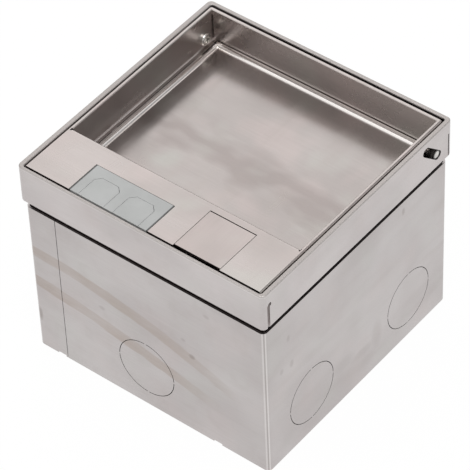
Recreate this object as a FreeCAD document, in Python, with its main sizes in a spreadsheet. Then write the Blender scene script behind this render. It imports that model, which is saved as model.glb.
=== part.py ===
import FreeCAD, Part
import math
import os

import Sketcher

# Floor socket box, in millimetres.  The origin is the centre of the installation box's underside, +Z is up,
# -Y is the front with the cable outlet, and the lid's pivots are near the back.

doc = FreeCAD.newDocument("FloorSocketBox")
sheet = doc.addObject("Spreadsheet::Sheet", "Sizes")

# ---------------------------------------------------------------------------------------------- driving sizes
SIZES = [
    # installation box
    ("box_height", 90.5, "installation box, underside to rim"),
    ("box_sheet", 1.0, "sheet of the installation box"),
    ("box_inset", 1.4, "box face behind the frame face"),
    ("box_bend", 2.6, "outer radius of the box's vertical bends"),
    ("seam_x", -51.3, "butt seam in the front wall"),
    ("seam_gap", 0.3, "open width of the seam"),
    ("seam_strip_width", 22.0, "backing strip behind the seam"),
    ("seam_strip_clear", 0.5, "backing strip below the levelling brackets"),
    ("notch_width", 4.8, "weld relief notch in the lower front edge"),
    ("notch_height", 0.9, "height of that notch"),
    ("notch_left", -54.6, "left notch"),
    ("notch_right", 39.0, "right notch"),
    ("knockout_radius", 16.2, "conduit knock-out for a 32 mm conduit"),
    ("knockout_slit", 0.35, "width of the pre-cut line"),
    ("knockout_tab", 1.6, "half angle of a bridging tab, degrees"),
    ("knockout_height", 24.6, "knock-out centres above the underside"),
    ("knockout_front_x", -1.7, "front and back knock-out"),
    ("knockout_side_y", 1.3, "middle of the side knock-out pair"),
    ("knockout_pitch", 74.2, "spacing of the side pair"),
    ("floor_flange", 11.0, "height of the floor pan's upturned edge"),
    ("floor_bend", 1.6, "outer bend radius of the floor pan"),
    ("fixing_pitch", 90.0, "spacing of the fixing holes in X and Y"),
    ("fixing_radius", 3.0, "fixing hole"),
    ("fit", 0.1, "clearance between sheets that lie together"),
    # trim frame
    ("frame_width", 140.0, "outside of the trim frame"),
    ("frame_height", 21.8, "height of the skirt"),
    ("frame_gap", 3.7, "skirt above the box rim as set"),
    ("frame_sheet", 1.0, "sheet of the frame"),
    ("frame_bend", 2.6, "outer radius of the frame's vertical bends"),
    ("rim_width", 2.5, "doubled rim at the sides"),
    ("back_rim", 2.0, "rolled rim at the back"),
    ("front_rim", 1.65, "flattened rim at the front"),
    ("hem_depth", 2.2, "depth of the rim's folded leg"),
    ("back_hem", 1.1, "depth of the rolled rim at the back"),
    ("rim_corner", 1.2, "radius of the rim's inner corners"),
    ("rim_round", 0.7, "rounding of the rims' edges"),
    ("skirt_bend", 1.3, "outer radius of the skirt's lower bend"),
    ("skirt_flange", 2.6, "turned-in lower edge, from the outside"),
    ("relief_front", 1.8, "open corner slot beside the front bends"),
    ("relief_back", 0.6, "corner slit beside the back bends"),
    ("relief_height", 14.5, "height of the corner slots"),
    ("relief_hole", 1.1, "radius of the hole that ends a corner slot"),
    ("corner_tab", 6.0, "width of the tab behind a front corner slot"),
    # pivot slots and lid pivots
    ("pivot_y", 58.4, "lid pivot with the lid closed"),
    ("pivot_drop", 13.8, "lid pivot below the rim"),
    ("slot_travel", 11.7, "travel of the pivot in its slot"),
    ("slot_play", 0.4, "slot beyond the closed pivot"),
    ("slot_end_play", 0.1, "slot beyond the open pivot"),
    ("slot_rise", 43.0, "slope of the slot, degrees"),
    ("slot_radius", 2.45, "half width of the slot"),
    ("running_play", 0.05, "radial clearance of the running fits"),
    ("roller_flange_radius", 3.2, "flange of the pivot roller"),
    ("roller_flange", 1.0, "thickness of that flange"),
    ("roller_play", 0.25, "roller flange to the skirt"),
    ("roller_reach", 0.6, "roller hub inside the slot"),
    ("screw_radius", 1.75, "pivot screw shank"),
    ("screw_head_radius", 3.35, "pivot screw head"),
    ("screw_head", 1.7, "height of the head"),
    ("screw_crown", 1.0, "rounding of the head"),
    ("cross_length", 3.7, "cross slot in the head"),
    ("cross_width", 0.95, "cross slot in the head"),
    ("nut_flats", 6.0, "pivot nut across flats"),
    ("nut_height", 1.7, "pivot nut"),
    # collar and levelling
    ("collar_sheet", 0.8, "sheet of the sliding collar"),
    ("collar_play", 0.3, "collar to the box wall"),
    ("collar_height", 26.2, "height of the collar"),
    ("collar_lip", 1.1, "out-turned lip under the skirt flange"),
    ("screw_inset", 7.6, "levelling screws from the box's inner faces in X and Y"),
    ("bracket_drop", 4.5, "collar as set above the shelf that the levelling screws stand on"),
    ("bracket_sheet", 1.5, "sheet of the brackets"),
    ("bracket_leg", 22.0, "length of a bracket along each wall"),
    ("bracket_flange", 12.0, "height of the bracket's flanges"),
    ("corner_clear", 2.6, "corner cut that clears the bends"),
    ("lug_rise", 0.5, "tapped lug above the collar's lower edge"),
    ("lug_thickness", 3.0, "tapped lug"),
    ("lug_leg", 20.0, "length of a lug along each wall"),
    ("thread_radius", 2.5, "levelling screw"),
    ("journal_radius", 1.95, "foot of the levelling screw"),
    ("head_clear", 3.8, "levelling screw heads below the lid"),
    ("head_radius", 4.25, "levelling screw head"),
    ("head_height", 3.5, "levelling screw head"),
    ("hex_flats", 4.0, "hexagon socket in that head, across flats"),
    ("hex_depth", 2.1, "that socket"),
    ("screw_foot", 1.8, "foot of the levelling screw below the bracket"),
    ("clip_radius", 3.5, "retaining ring"),
    ("clip_thickness", 0.6, "retaining ring"),
    ("clip_groove", 0.35, "depth of the ring's groove"),
    # lid
    ("lid_gap_side", 0.55, "gap beside the lid"),
    ("lid_gap_back", 1.2, "gap behind the lid"),
    ("lid_round", 1.2, "rounding of the lid's outer top edge"),
    ("lid_corner", 1.3, "radius of the lid's back corners"),
    ("lid_gap_front", 0.7, "gap in front of the lid"),
    ("lid_sheet", 1.0, "sheet of the lid"),
    ("lid_rim", 2.1, "doubled rim of the lid"),
    ("lid_hem", 6.0, "depth of the lid rim's folded leg"),
    ("lid_height", 22.4, "lid, rim to underside"),
    ("lid_front_height", 12.0, "height of the lid's front wall"),
    ("lid_flange", 8.0, "turned-in lower edge that carries the tray"),
    ("lid_bend", 0.9, "inner bend radius between a side wall and its shoulder"),
    ("strip_depth", 31.15, "front strip, front to back"),
    ("strip_bend", 1.5, "bend at the strip's back edge"),
    ("strip_notch", 0.7, "relief notch between the strip and the side rims, into the rim"),
    ("strip_notch_depth", 3.0, "that notch below the surface"),
    ("corner_slit", 0.5, "open joint in the tray's back corners"),
    ("tray_lip", 3.2, "height of the tray pan's edge"),
    ("tray_side_gap", 2.2, "shoulders of the side walls beside the tray pan"),
    ("tray_end_gap", 0.2, "tray pan to the front and back walls"),
    ("tray_bend", 2.1, "inner bend radius of the tray pan"),
    ("tray_relief", 12.0, "cut-back of the pan's side lips at the back"),
    ("weld_length", 3.6, "tack weld"),
    ("weld_rise", 0.3, "tack weld above the pan's lip"),
    ("weld_width", 0.8, "tack weld"),
    ("weld_front_y", -11.9, "front pair of tack welds"),
    ("weld_back_y", 50.0, "back pair of tack welds"),
    # cable outlet
    ("outlet_x", -18.55, "middle of the outlet insert"),
    ("outlet_width", 44.9, "outlet insert"),
    ("outlet_depth", 19.25, "outlet insert, front to back"),
    ("outlet_height", 9.0, "outlet insert"),
    ("outlet_wall", 1.6, "walls of the insert"),
    ("outlet_top", 1.6, "top plate of the insert"),
    ("outlet_clip", 1.5, "ledge of the insert under the strip"),
    ("outlet_play", 0.2, "insert to the strip's cut-out"),
    ("exit_width", 14.6, "cable exit"),
    ("exit_depth", 14.1, "cable exit, front to back"),
    ("exit_pitch", 19.9, "spacing of the exits"),
    ("exit_corner", 2.6, "cut corners of the exit"),
    ("exit_flap_play", 0.15, "flap to the exit"),
    ("exit_flap_sheet", 1.6, "outlet flap"),
    ("exit_flap_front", 5.5, "height of the flap's front"),
    ("exit_pin_radius", 0.75, "hinge pin of the outlet flaps"),
    ("exit_pin_drop", 3.1, "that pin below the surface"),
    ("exit_pin_back", 0.6, "that pin in front of the exit's end"),
    ("exit_barrel_radius", 1.35, "hinge barrel of a flap"),
    # pull flap
    ("pull_x", 31.35, "middle of the pull flap"),
    ("pull_width", 25.5, "pull flap"),
    ("pull_length", 25.1, "pull flap, front to back"),
    ("pull_setback", 0.95, "finger gap, behind the lid's front face"),
    ("pull_sheet", 1.2, "pull flap"),
    ("pull_gap_side", 0.25, "gap beside the pull flap"),
    ("pull_gap_back", 0.55, "gap behind the pull flap"),
    ("pull_pin_radius", 1.0, "hinge pin of the pull flap"),
    ("pull_pin_back", 4.5, "that pin in front of the flap's back edge"),
    ("pull_pin_drop", 2.4, "that pin below the surface"),
    ("pull_ear", 1.0, "ears of the pull flap"),
    ("pull_ear_length", 6.0, "ears of the pull flap"),
    ("pull_ear_height", 3.2, "ears of the pull flap"),
    ("well_sheet", 0.8, "pocket under the pull flap"),
    ("well_depth", 8.0, "pocket under the strip"),
    ("well_front", 3.0, "pocket's front edge above its floor, low for a fingertip"),
    # lid rests
    ("ledge_depth", 7.0, "front ledge"),
    ("ledge_height", 6.4, "front ledge"),
    ("ledge_sheet", 1.0, "front ledge and side rests"),
    ("seal_height", 1.5, "foam strip on the ledge"),
    ("seal_play", 0.1, "foam strip to the lid"),
    ("rest_length", 30.0, "side rest"),
    ("rest_depth", 6.5, "side rest"),
    ("rest_height", 7.4, "side rest"),
    ("rest_play", 0.2, "side rest to the lid"),
    # outlets inside
    ("carrier_top", 43.5, "top of the carrier plate"),
    ("carrier_sheet", 1.5, "carrier plate and its legs"),
    ("carrier_inset", 4.1, "carrier plate's ends to the box's inner faces"),
    ("carrier_depth", 60.0, "carrier plate, front to back"),
    ("carrier_lip", 8.0, "folded edges of the carrier plate"),
    ("leg_width", 36.0, "carrier legs"),
    ("leg_flange", 7.0, "flanges of the legs"),
    ("carrier_screw_inset", 3.2, "carrier screws from the plate's ends"),
    ("carrier_screw_pitch", 24.0, "carrier screws"),
    ("carrier_screw_radius", 1.5, "carrier screws"),
    ("cheese_radius", 2.7, "carrier screw head"),
    ("cheese_height", 1.65, "carrier screw head"),
    ("cheese_chamfer", 0.6, "carrier screw head"),
    ("slit_width", 0.65, "screwdriver slot"),
    ("slit_depth", 1.05, "screwdriver slot"),
    ("module", 45.0, "pitch of the outlet modules"),
    ("module_play", 0.2, "between module faces"),
    ("module_corner", 1.0, "rounded corners of the modules"),
    ("module_face", 3.0, "face plate of a module above the carrier"),
    ("module_body", 41.0, "body of an outlet module"),
    ("module_front_depth", 20.0, "front half of a socket, below the carrier's top"),
    ("module_back_depth", 14.0, "terminal half of a socket"),
    ("module_cut_play", 0.15, "module body to the carrier's window"),
    ("module_step", 0.8, "terminal half inside the front half, all round"),
    ("socket_radius", 19.5, "socket recess"),
    ("socket_depth", 17.5, "socket recess"),
    ("contact_pitch", 19.0, "line and neutral contacts"),
    ("contact_radius", 2.6, "contact holes"),
    ("contact_depth", 4.0, "contact holes below the recess floor"),
    ("key_depth", 2.0, "keys in the recess's side walls"),
    ("earth_width", 5.0, "earth spring"),
    ("earth_sheet", 0.8, "earth spring"),
    ("spring_bow", 1.6, "nose of the earth spring, inwards"),
    ("spring_nose", 2.4, "that nose below the spring's top"),
    ("spring_foot", 4.0, "foot of the nose below the spring's top"),
    ("terminal_radius", 1.8, "terminal screws"),
    ("terminal_pitch", 11.0, "terminal screws"),
    ("terminal_bore", 2.35, "well of a terminal screw"),
    ("wire_radius", 2.15, "wire entries in front of the terminal screws"),
    ("jack_width", 14.6, "data jack"),
    ("jack_length", 16.4, "data jack"),
    ("jack_pitch", 20.0, "data jacks"),
    ("port_width", 11.8, "opening of a data jack"),
    ("port_length", 8.0, "opening of a data jack"),
    ("port_depth", 12.0, "opening of a data jack"),
    ("latch_width", 5.9, "notch for the plug's latch"),
    ("latch_depth", 1.5, "notch for the plug's latch"),
    ("jack_depth", 24.0, "data jack below its face"),
    ("stud_inset_x", 27.6, "earth stud from the right wall"),
    ("stud_inset_y", 17.6, "earth stud from the front wall"),
    ("stud_radius", 2.5, "earth stud"),
    ("stud_height", 16.0, "earth stud above the floor"),
    ("stud_chamfer", 0.4, "end of the earth stud"),
    ("washer_radius", 5.0, "earth washer"),
    ("washer_thickness", 1.0, "earth washer"),
    ("earth_nut_flats", 8.0, "earth nut"),
    ("earth_nut_height", 4.0, "earth nut"),
]


class Size:
    """A length with its number now and the formula that the document keeps for it."""

    def __init__(self, number, formula):
        self.number = number
        self.formula = formula

    @staticmethod
    def of(value):
        return value if isinstance(value, Size) else Size(float(value), "%g" % value)

    def _join(self, other, sign, number):
        return Size(number, "(%s %s %s)" % (self.formula, sign, Size.of(other).formula))

    def __add__(self, other):
        return self._join(other, "+", self.number + Size.of(other).number)

    def __sub__(self, other):
        return self._join(other, "-", self.number - Size.of(other).number)

    def __mul__(self, other):
        return self._join(other, "*", self.number * Size.of(other).number)

    def __truediv__(self, other):
        return self._join(other, "/", self.number / Size.of(other).number)

    def __radd__(self, other):
        return Size.of(other) + self

    def __rsub__(self, other):
        return Size.of(other) - self

    def __rmul__(self, other):
        return self * other

    def __neg__(self):
        return self * -1

    def cos(self):
        return Size(math.cos(math.radians(self.number)), "cos(%s * 1 deg)" % self.formula)

    def sin(self):
        return Size(math.sin(math.radians(self.number)), "sin(%s * 1 deg)" % self.formula)


class Sizes:
    """The driving sizes by name."""

    def __init__(self, rows):
        for row, (name, number, meaning) in enumerate(rows, start=1):
            sheet.set("A%d" % row, name)
            sheet.set("B%d" % row, "%g" % number)
            sheet.set("C%d" % row, meaning)
            sheet.setAlias("B%d" % row, name)
            setattr(self, name, Size(float(number), "Sizes." + name))


S = Sizes(SIZES)
doc.recompute()
NODES = {}


# ------------------------------------------------------------------------------------------------- tool kit
def circle(x, y, radius):
    return ("circle", x, y, radius)


def rectangle(x0, x1, y0, y1):
    return [(x0, y0), (x1, y0), (x1, y1), (x0, y1)]


def square(half):
    return rectangle(-half, half, -half, half)


def rising(*sizes, side=1):
    """Sizes mirrored to one side of the middle, the lower one first."""
    return sorted((size * side for size in sizes), key=lambda size: size.number)


def hexagon(x, y, flats):
    """A hexagon with two flats across the sketch's second axis."""
    reach = flats / math.sqrt(3.0)
    half = flats / 2
    return [(x + reach, y), (x + reach / 2, y + half), (x - reach / 2, y + half),
            (x - reach, y), (x - reach / 2, y - half), (x + reach / 2, y - half)]


def slot(x0, y0, x1, y1, radius, slope):
    """A round-ended slot between two centres; slope is the angle of its long axis in degrees."""
    across = (slope.sin() * radius, slope.cos() * radius)
    return ("slot", (x0, y0), (x1, y1), across)


class Piece:
    """One sub-part as a PartDesign body, built from sketches on its own origin planes."""

    def __init__(self, label):
        self.label = label
        self.body = doc.addObject("PartDesign::Body", label + "_body")
        self.planes = {item.Role: item for item in self.body.Origin.OriginFeatures}
        self.steps = 0

    def _new(self, kind, name):
        self.steps += 1
        return self.body.newObject(kind, "%s_%s_%d" % (self.label, name, self.steps))

    def sketch(self, plane, at, loops, origin=None):
        """A sketch across X (YZ plane), Y (XZ plane) or Z (XY plane) at the height `at` on that axis."""
        sketch = self._new("Sketcher::SketchObject", "sketch")
        sketch.AttachmentSupport = (self.planes[plane + "_Plane"], [""])
        sketch.MapMode = "FlatFace"
        height = -Size.of(at) if plane == "XZ" else Size.of(at)
        sketch.setExpression("AttachmentOffset.Base.z", height.formula)
        if origin:
            sketch.setExpression("AttachmentOffset.Base.x", Size.of(origin[0]).formula)
            sketch.setExpression("AttachmentOffset.Base.y", Size.of(origin[1]).formula)
        for loop in loops:
            if loop[0] == "circle":
                self._circle(sketch, *loop[1:])
            elif loop[0] == "slot":
                self._slot(sketch, *loop[1:])
            elif loop[0] == "sector":
                self._sector(sketch, *loop[1:])
            else:
                self._polygon(sketch, loop)
        return sketch

    def _bind(self, sketch, kind, *where):
        size = Size.of(where[-1])
        row = sketch.addConstraint(Sketcher.Constraint(kind, *where[:-1], size.number))
        sketch.setExpression("Constraints[%d]" % row, size.formula)

    def _place(self, sketch, line, end, point):
        self._bind(sketch, "DistanceX", -1, 1, line, end, point[0])
        self._bind(sketch, "DistanceY", -1, 1, line, end, point[1])

    def _polygon(self, sketch, points):
        spots = [FreeCAD.Vector(Size.of(x).number, Size.of(y).number, 0) for x, y in points]
        count = len(points)
        lines = [sketch.addGeometry(Part.LineSegment(spots[i], spots[(i + 1) % count]), False)
                 for i in range(count)]
        for i in range(count):
            sketch.addConstraint(Sketcher.Constraint("Coincident", lines[i], 2, lines[(i + 1) % count], 1))
            self._place(sketch, lines[i], 1, points[i])

    def _circle(self, sketch, x, y, radius):
        middle = FreeCAD.Vector(Size.of(x).number, Size.of(y).number, 0)
        ring = sketch.addGeometry(Part.Circle(middle, FreeCAD.Vector(0, 0, 1), Size.of(radius).number), False)
        self._place(sketch, ring, 3, (x, y))
        self._bind(sketch, "Radius", ring, radius)

    def _slot(self, sketch, start, end, across):
        """Two lines, each `across` from the slot's axis, joined by two half circles."""
        corners = [(start[0] + across[0], start[1] + across[1]), (end[0] + across[0], end[1] + across[1]),
                   (end[0] - across[0], end[1] - across[1]), (start[0] - across[0], start[1] - across[1])]
        a, b, c, d = [FreeCAD.Vector(x.number, y.number, 0) for x, y in corners]
        middle = (b + c) / 2
        turn = (b - a).normalize() * ((c - b).Length / 2)
        lower = sketch.addGeometry(Part.LineSegment(a, b), False)
        far = sketch.addGeometry(Part.Arc(b, middle + turn, c), False)
        upper = sketch.addGeometry(Part.LineSegment(c, d), False)
        near = sketch.addGeometry(Part.Arc(d, (d + a) / 2 - turn, a), False)
        self._place(sketch, lower, 1, corners[0])
        self._place(sketch, lower, 2, corners[1])
        self._place(sketch, upper, 1, corners[2])
        self._place(sketch, upper, 2, corners[3])
        self._close_arc(sketch, far, b, lower, 2, upper, 1)
        self._close_arc(sketch, near, d, upper, 2, lower, 1)

    def _close_arc(self, sketch, arc, begin, line0, end0, line1, end1):
        """Join an arc's two ends to two line ends; it leaves the first line without a kink."""
        first = (sketch.Geometry[arc].StartPoint - begin).Length < 1e-6
        sketch.addConstraint(Sketcher.Constraint("Tangent", line0, end0, arc, 1 if first else 2))
        sketch.addConstraint(Sketcher.Constraint("Coincident", line1, end1, arc, 2 if first else 1))

    def _sector(self, sketch, outer, inner, half_angle):
        """A part ring about the sketch's origin, from half_angle to 90 degrees less half_angle."""
        start, end = math.radians(half_angle.number), math.radians(90 - half_angle.number)
        axis = FreeCAD.Vector(0, 0, 1)
        arcs = []
        for radius in (outer, inner):
            ring = Part.Circle(FreeCAD.Vector(), axis, radius.number)
            arcs.append(sketch.addGeometry(Part.ArcOfCircle(ring, start, end), False))
            sketch.addConstraint(Sketcher.Constraint("Coincident", arcs[-1], 3, -1, 1))
            self._bind(sketch, "Radius", arcs[-1], radius)
        for end_name, angle in ((1, half_angle), (2, 90 - half_angle)):
            ends = [sketch.Geometry[arc].StartPoint if end_name == 1 else sketch.Geometry[arc].EndPoint
                    for arc in arcs]
            line = sketch.addGeometry(Part.LineSegment(ends[1], ends[0]), False)
            sketch.addConstraint(Sketcher.Constraint("Coincident", line, 1, arcs[1], end_name))
            sketch.addConstraint(Sketcher.Constraint("Coincident", line, 2, arcs[0], end_name))
            self._bind(sketch, "DistanceX", -1, 1, arcs[0], end_name, angle.cos() * outer)
            self._bind(sketch, "DistanceX", -1, 1, arcs[1], end_name, angle.cos() * inner)

    def pad(self, plane, start, end, *loops):
        """Material between two heights on the plane's axis."""
        feature = self._new("PartDesign::Pad", "pad")
        feature.Profile = self.sketch(plane, start, loops)
        feature.setExpression("Length", (Size.of(end) - start).formula)
        feature.Reversed = plane == "XZ"
        return feature

    def cut(self, plane, start, end, *loops, origin=None):
        """Material taken away between two heights on the plane's axis."""
        feature = self._new("PartDesign::Pocket", "cut")
        feature.Profile = self.sketch(plane, start, loops, origin)
        feature.setExpression("Length", (Size.of(end) - start).formula)
        feature.Reversed = plane != "XZ"
        return feature

    def turn(self, plane, at, origin, outline, around="V_Axis"):
        """A turned form: an outline beside the sketch's axis, spun once round it."""
        feature = self._new("PartDesign::Revolution", "turn")
        profile = self.sketch(plane, at, [outline], origin)
        feature.Profile = profile
        feature.ReferenceAxis = (profile, [around])
        feature.Angle = 360
        return feature

    def around(self, feature, count):
        """Copies of a feature round its own sketch's normal."""
        pattern = self._new("PartDesign::PolarPattern", "around")
        pattern.Originals = [feature]
        pattern.Axis = (feature.Profile[0], ["N_Axis"])
        pattern.Angle = 360
        pattern.Occurrences = count
        self.body.Tip = pattern

    def round(self, radius, wanted, kind="Fillet"):
        """Round (or chamfer) the edges of the form so far whose box and direction are wanted."""
        doc.recompute()
        base = self.body.Tip
        names = ["Edge%d" % (i + 1) for i, edge in enumerate(base.Shape.Edges) if wanted(Edge(edge))]
        feature = self._new("PartDesign::" + kind, "round")
        feature.Base = (base, names)
        feature.setExpression("Radius" if kind == "Fillet" else "Size", Size.of(radius).formula)

    def done(self):
        """Make the body a node of its own."""
        self.body.Label = self.label
        NODES[self.label] = self.body
        return self.body


class Edge:
    """What the rounding rules ask about an edge: its middle and the axis it runs along."""

    def __init__(self, edge):
        box = edge.BoundBox
        self.x, self.y, self.z = box.Center.x, box.Center.y, box.Center.z
        spans = {"x": box.XLength, "y": box.YLength, "z": box.ZLength}
        long_ones = [name for name, span in spans.items() if span > 1e-4]
        self.along = long_ones[0] if len(long_ones) == 1 else ""

    def at(self, **where):
        return all(abs(getattr(self, name) - Size.of(value).number) < 1e-3 for name, value in where.items())


def upright(edge):
    return edge.along == "z"


def upright_at(*spots):
    """The upright edges over the given (x, y) spots and their mirror images."""
    return lambda edge: upright(edge) and any(
        abs(abs(edge.x) - x.number) + abs(abs(edge.y) - y.number) < 1e-3 for x, y in spots)


def group(label, pieces, mirrors=()):
    """One node of separate solids: the pieces, and their mirror images about x = 0 or y = 0."""
    members = list(pieces)
    for axis in mirrors:
        for member in list(members):
            image = doc.addObject("Part::Mirroring", "%s_%s_%d" % (label, axis, len(members)))
            image.Source = member
            image.Normal = (1, 0, 0) if axis == "x" else (0, 1, 0)
            members.append(image)
    node = doc.addObject("Part::Compound", label + "_group")
    node.Links = members
    node.Label = label
    NODES[label] = node
    return node


# ------------------------------------------------------------------------------------- levels used throughout
half = S.frame_width / 2
box_half = half - S.box_inset
box_in = box_half - S.box_sheet
skirt_low = S.box_height + S.frame_gap
top = skirt_low + S.frame_height
frame_in = half - S.frame_sheet
rim_in = half - S.rim_width
rim_back = half - S.back_rim
front_in = half - S.front_rim
collar_half = box_in - S.collar_play
collar_in = collar_half - S.collar_sheet
collar_low = skirt_low - S.collar_height
bracket_top = collar_low - S.bracket_drop
lug_low = collar_low + S.lug_rise
screw_at = box_in - S.screw_inset

lid_half = rim_in - S.lid_gap_side
lid_back = rim_back - S.lid_gap_back
lid_front = -front_in + S.lid_gap_front
lid_low = top - S.lid_height
lid_in = lid_half - S.lid_rim
lid_wall = lid_in + S.lid_sheet
tray_back = lid_back - S.lid_rim
shoulder = lid_low + S.lid_sheet + S.tray_lip
shoulder_in = lid_in - S.tray_side_gap
back_wall = tray_back + S.lid_sheet
tray_front = lid_front + S.strip_depth
front_wall_low = top - S.lid_front_height
head_top = lid_low - S.head_clear

pivot_z = top - S.pivot_drop
outlet_back = lid_front + S.outlet_depth
outlet_low = top - S.outlet_height
exit_end = lid_front + S.exit_depth
exit_pin_y = exit_end - S.exit_pin_back
exit_pin_z = top - S.exit_pin_drop
exit_middles = {"left": S.outlet_x - S.exit_pitch / 2, "right": S.outlet_x + S.exit_pitch / 2}

pull_front = lid_front + S.pull_setback
pull_back = pull_front + S.pull_length
pull_pin_y = pull_back - S.pull_pin_back
pull_pin_z = top - S.pull_pin_drop
strip_low = top - S.lid_sheet
well_low = strip_low - S.well_depth
well_half = S.pull_width / 2 + S.pull_gap_side + S.well_sheet

carrier_low = S.carrier_top - S.carrier_sheet
carrier_half = box_in - S.carrier_inset
carrier_screw_x = carrier_half - S.carrier_screw_inset
stud_x = box_in - S.stud_inset_x
stud_y = -box_in + S.stud_inset_y
# two whole modules and a half one side by side, centred as a row
module_row = [-S.module * 0.75, S.module * 0.25, S.module]
past = 1.0


# ------------------------------------------------------------------------------------------ installation box
def base_shell():
    """The folded sleeve: four walls, rounded bends, an open seam, knock-out lines and relief notches."""
    piece = Piece("base_shell")
    piece.pad("XY", 0, S.box_height, square(box_half))
    piece.round(S.box_bend, upright)
    piece.cut("XY", -past, S.box_height + past, square(box_in))
    piece.round(S.box_bend - S.box_sheet, upright_at((box_in, box_in)))
    piece.cut("XZ", -box_half - past, -box_in + past / 2,
              rectangle(S.seam_x, S.seam_x + S.seam_gap, -past, S.box_height + past))
    for middle in (S.notch_left, S.notch_right):
        piece.cut("XZ", -box_half - past, -box_in + past / 2,
                  rectangle(middle - S.notch_width / 2, middle + S.notch_width / 2, -past, S.notch_height))
    ring = ("sector", S.knockout_radius, S.knockout_radius - S.knockout_slit, S.knockout_tab)
    line = piece.cut("XZ", -box_half - past, box_half + past, ring,
                     origin=(S.knockout_front_x, S.knockout_height))
    piece.around(line, 4)
    for side in (-0.5, 0.5):
        line = piece.cut("YZ", -box_half - past, box_half + past, ring,
                         origin=(S.knockout_side_y + S.knockout_pitch * side, S.knockout_height))
        piece.around(line, 4)
    piece.done()


def seam_strip():
    """The flat strip welded over the inside of the seam."""
    piece = Piece("seam_strip")
    reach = S.seam_strip_width / 2
    middle = S.seam_x + S.seam_gap / 2
    low = S.floor_flange + S.box_sheet
    piece.pad("XY", low, bracket_top - S.bracket_flange - S.seam_strip_clear,
              rectangle(middle - reach, middle + reach, -box_in, -box_in + S.box_sheet))
    piece.done()


def base_floor():
    """The floor pan with its upturned edge inside the sleeve, and four fixing holes."""
    piece = Piece("base_floor")
    outer = box_in
    piece.pad("XY", 0, S.floor_flange, square(outer))
    piece.round(S.box_bend - S.box_sheet, upright)
    piece.cut("XY", S.box_sheet, S.floor_flange + past, square(outer - S.box_sheet))
    piece.round(S.floor_bend, lambda edge: edge.at(z=0))
    hole = S.fixing_pitch / 2
    piece.cut("XY", -past, S.box_sheet + past,
              *[circle(hole * i, hole * j, S.fixing_radius) for i in (-1, 1) for j in (-1, 1)])
    piece.done()


# ------------------------------------------------------------------------------------------------ trim frame
def trim_frame():
    """The skirt: bends at the corners, a doubled rim, a turned-in lower edge, pivot slots, corner slots."""
    piece = Piece("trim_frame")
    relief_low = skirt_low - past
    relief_top = skirt_low + S.relief_height
    piece.pad("XY", skirt_low, top, square(half))
    piece.round(S.frame_bend, upright)
    piece.cut("XY", top - S.hem_depth, top + past, rectangle(-rim_in, rim_in, -front_in, rim_back))
    piece.round(S.rim_corner, upright_at((rim_in, front_in), (rim_in, rim_back)))
    piece.cut("XY", skirt_low + S.frame_sheet, top - S.hem_depth, square(frame_in))
    piece.cut("XY", top - S.hem_depth, top - S.back_hem,
              rectangle(-rim_in, rim_in, rim_back - S.rim_corner, frame_in))
    piece.cut("XY", skirt_low - past, skirt_low + S.frame_sheet + past, square(half - S.skirt_flange))
    piece.round(S.rim_round, lambda edge: edge.at(z=top))
    piece.round(S.skirt_bend, lambda edge: edge.at(z=skirt_low)
                and max(abs(edge.x), abs(edge.y)) > (half - S.skirt_flange / 2).number)
    run, climb = S.slot_rise.cos(), S.slot_rise.sin()
    reach = S.slot_travel + S.slot_end_play
    piece.cut("YZ", -half - past, half + past,
              slot(S.pivot_y + run * S.slot_play, pivot_z - climb * S.slot_play,
                   S.pivot_y - run * reach, pivot_z + climb * reach, S.slot_radius, S.slot_rise))
    front = -half + S.frame_bend
    back = half - S.frame_bend
    tab_low = skirt_low + S.frame_sheet
    for side in (-1, 1):
        wall = rising(frame_in - S.fit, half + past, side=side)
        tab = rising(frame_in - S.frame_sheet, frame_in + S.frame_sheet / 2, side=side)
        piece.pad("YZ", *tab, rectangle(-frame_in, -frame_in + S.corner_tab, tab_low, relief_top))
        piece.cut("YZ", *wall, rectangle(front, front + S.relief_front, relief_low, relief_top))
        piece.cut("YZ", *wall, circle(front + S.relief_front, relief_top, S.relief_hole))
        piece.cut("YZ", *wall, rectangle(back - S.relief_back, back, relief_low, relief_top))
    piece.done()


def frame_collar():
    """The sleeve that slides in the installation box, with an out-turned lip under the skirt's flange."""
    piece = Piece("frame_collar")
    piece.pad("XY", collar_low, skirt_low, square(collar_half))
    piece.round(S.box_bend - S.box_sheet, upright)
    piece.pad("XY", skirt_low - S.collar_sheet, skirt_low, square(collar_half + S.collar_lip))
    piece.cut("XY", collar_low - past, skirt_low + past, square(collar_in))
    piece.round(S.box_bend - S.box_sheet - S.collar_sheet / 2, upright_at((collar_in, collar_in)))
    piece.done()


def lid_ledges():
    """Two angles on the front wall's inner face, either side of the cable outlet."""
    ledge_top = front_wall_low - S.seal_height - S.seal_play
    profile = [(-frame_in, ledge_top), (-frame_in, ledge_top - S.ledge_height),
               (-frame_in + S.ledge_sheet, ledge_top - S.ledge_height),
               (-frame_in + S.ledge_sheet, ledge_top - S.ledge_sheet),
               (-frame_in + S.ledge_depth, ledge_top - S.ledge_sheet), (-frame_in + S.ledge_depth, ledge_top)]
    outer = frame_in - S.frame_sheet * 2
    ends = [(-outer, S.outlet_x - S.outlet_width / 2 - S.outlet_wall),
            (S.outlet_x + S.outlet_width / 2 + S.outlet_wall, outer)]
    ledges = []
    seals = []
    for side, (start, end) in zip(("left", "right"), ends):
        ledge = Piece("ledge_" + side)
        ledge.pad("YZ", start, end, profile)
        ledges.append(ledge.body)
        seal = Piece("seal_" + side)
        seal.pad("YZ", start, end, rectangle(-frame_in + S.ledge_sheet, -frame_in + S.ledge_depth,
                                             ledge_top, ledge_top + S.seal_height))
        seals.append(seal.body)
    group("lid_ledges", ledges)
    group("ledge_seals", seals)


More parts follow.
